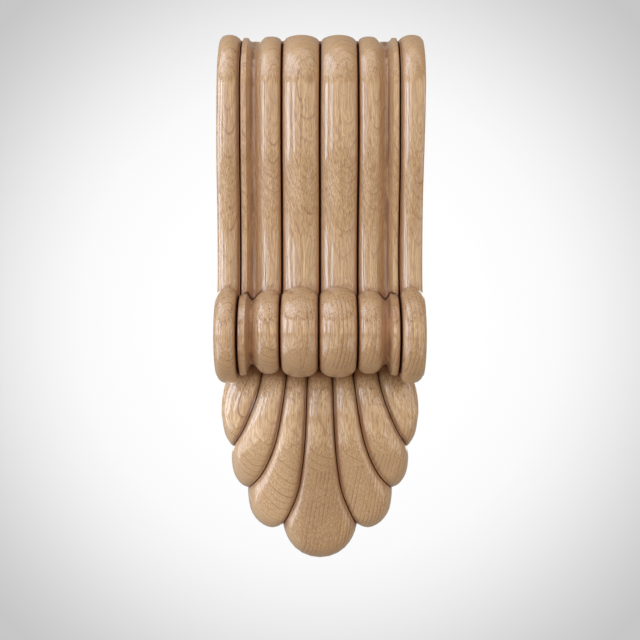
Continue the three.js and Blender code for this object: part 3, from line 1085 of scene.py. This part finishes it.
    bump = newNode(tree, "ShaderNodeBump")
    bump.inputs["Strength"].default_value = carvedWood["bumpStrength"]
    bump.inputs["Distance"].default_value = carvedWood["bumpHeight"] * mm
    height = 0
    for mask, share in zip((dashes, poreMask, streaks), carvedWood["bumpShares"]):
        height = maths(tree, "ADD", height, times(tree, mask, share))
    feed(tree, bump.inputs["Height"], height)
    feed(tree, shader.inputs["Normal"], bump.outputs["Normal"])
    return material


corbel.data.materials.clear()
corbel.data.materials.append(makeWood())
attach(corbel, "root")
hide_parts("corbel")
print("wood finished")

studio = {  # metres and degrees
    "cameraPlace": (0, -0.682, -0.010),
    "lens": 56.25,
    "sensor": 36,
    "nearest": 0.01,
    "lightDistance": 1.15,
    "wattsPerArea": 4,
    "air": (0.42, 0.37, 0.32),
    "wallRadius": 2.4,
    "wallSegments": 96,
    "floorZ": -0.72,
    # brightness of the wall's painted glow at angles from the middle of the picture
    "wallLevels": [
        (9, 1), (13.5, 0.956), (15.6, 0.896), (17.5, 0.823),
        (19.8, 0.716), (21.7, 0.631), (23.5, 0.565), (40, 0.6),
    ],
}


def makeCamera():
    bpy.ops.object.camera_add(location=studio["cameraPlace"], rotation=(math.pi / 2, 0, 0))
    camera = bpy.context.object
    camera.data.lens = studio["lens"]
    camera.data.sensor_width = studio["sensor"]
    camera.data.clip_start = studio["nearest"]
    bpy.context.scene.camera = camera


def makePaleWall():
    # A painted glow, a pool of light: palest behind the corbel, and dimmer evenly away from there
    material = bpy.data.materials.new("paleSweep")
    material.use_nodes = True
    tree = material.node_tree
    tree.nodes.remove(tree.nodes["Principled BSDF"])
    place = newNode(tree, "ShaderNodeTexCoord").outputs["Object"]
    place = vectorMaths(tree, "SUBTRACT", place, studio["cameraPlace"])
    aside = vectorMaths(tree, "MULTIPLY", place, (1, 0, 1))
    aside = vectorMaths(tree, "LENGTH", aside, (0, 0, 0))
    angle = maths(tree, "ARCTAN2", aside, axesOf(tree, place)[1])
    ramp = newNode(tree, "ShaderNodeValToRGB")
    feed(tree, ramp.inputs["Fac"], angle)
    stops = [(math.radians(degrees), level) for degrees, level in studio["wallLevels"]]
    elements = ramp.color_ramp.elements
    elements[0].position, elements[1].position = stops[0][0], stops[-1][0]
    for position, level in stops[1:-1]:
        elements.new(position)
    for element, (position, level) in zip(elements, stops):
        element.color = (level, level, level, 1)
    glow = newNode(tree, "ShaderNodeEmission")
    feed(tree, glow.inputs["Color"], ramp.outputs["Color"])
    clear = newNode(tree, "ShaderNodeBsdfTransparent")
    choose = newNode(tree, "ShaderNodeMixShader")
    feed(tree, choose.inputs["Fac"], newNode(tree, "ShaderNodeLightPath").outputs["Is Camera Ray"])
    tree.links.new(clear.outputs["BSDF"], choose.inputs[1])
    tree.links.new(glow.outputs["Emission"], choose.inputs[2])
    tree.links.new(choose.outputs["Shader"], tree.nodes["Material Output"].inputs["Surface"])
    return material


def makeSweep():
    # A seamless floor and wall all round, seen by the camera only; the air and softboxes light the piece
    segments = studio["wallSegments"]
    deselectAll()
    rings = segments // 2
    bpy.ops.mesh.primitive_uv_sphere_add(segments=segments, ring_count=rings, radius=studio["wallRadius"])
    piece = bpy.context.object
    piece.name = "studioSweep"
    for vertex in piece.data.vertices:
        vertex.co.z = max(vertex.co.z, studio["floorZ"])
    bpy.ops.object.shade_smooth()
    piece.data.materials.append(makePaleWall())


coolLight = (0.88, 1, 1.2)
plainLight = (1, 1, 1)
warmLight = (1.12, 1, 0.82)

softboxes = {  # azimuth from the camera's direction and elevation, spans, in degrees; brightness, tint
    "farLeft": (-80, 12, 16, 30, 4.4, coolLight),
    "windowLeft": (-60, 12, 12, 28, 6.6, coolLight),
    "windowFrontLeft": (-34, 12, 10, 28, 5, coolLight),
    "frontLeft": (-14, 12, 20, 30, 1.2, plainLight),
    "lampFrontRight": (13, 12, 9, 30, 2.7, warmLight),
    "lampRight": (44, 12, 46, 30, 1.35, warmLight),
    "farRight": (80, 12, 22, 30, 1.4, plainLight),
    "highLeft": (-60, 48, 50, 28, 2.1, coolLight),
    "highFront": (0, 50, 50, 28, 0.9, plainLight),
    "top": (0, 74, 90, 20, 1, plainLight),
    "lowFarLeft": (-75, -24, 28, 28, 2.7, coolLight),
    "lowLeft": (-45, -24, 30, 28, 1.7, plainLight),
    "lowFront": (-12, -24, 30, 28, 1.1, warmLight),
    "lowRight": (58, -24, 50, 28, 1.1, plainLight),
    "behind": (180, 10, 60, 40, 1.2, plainLight),
}


def makeSoftbox(name, azimuth, elevation, across, upright, brightness, tint):
    az, el = math.radians(azimuth), math.radians(elevation)
    distance = studio["lightDistance"]
    place = Vector((math.sin(az) * math.cos(el), -math.cos(az) * math.cos(el), math.sin(el))) * distance
    bpy.ops.object.light_add(type="AREA", location=place)
    light = bpy.context.object
    light.name = name
    light.visible_camera = False
    light.data.shape = "RECTANGLE"
    light.data.size = 2 * distance * math.tan(math.radians(across / 2))
    light.data.size_y = 2 * distance * math.tan(math.radians(upright / 2))
    light.data.energy = studio["wattsPerArea"] * brightness * light.data.size * light.data.size_y
    light.data.color = tint
    light.rotation_euler = (-place).to_track_quat("-Z", "Y").to_euler()


def makeAir():
    world = bpy.data.worlds.new("studioAir")
    bpy.context.scene.world = world
    world.use_nodes = True
    background = world.node_tree.nodes["Background"]
    background.inputs["Color"].default_value = (*studio["air"], 1)
    background.inputs["Strength"].default_value = 1


makeCamera()
makeSweep()
for name, settings in softboxes.items():
    makeSoftbox(name, *settings)
makeAir()
bpy.context.scene.view_settings.view_transform = "Standard"
print("camera, sweep and", len(softboxes), "softboxes placed")
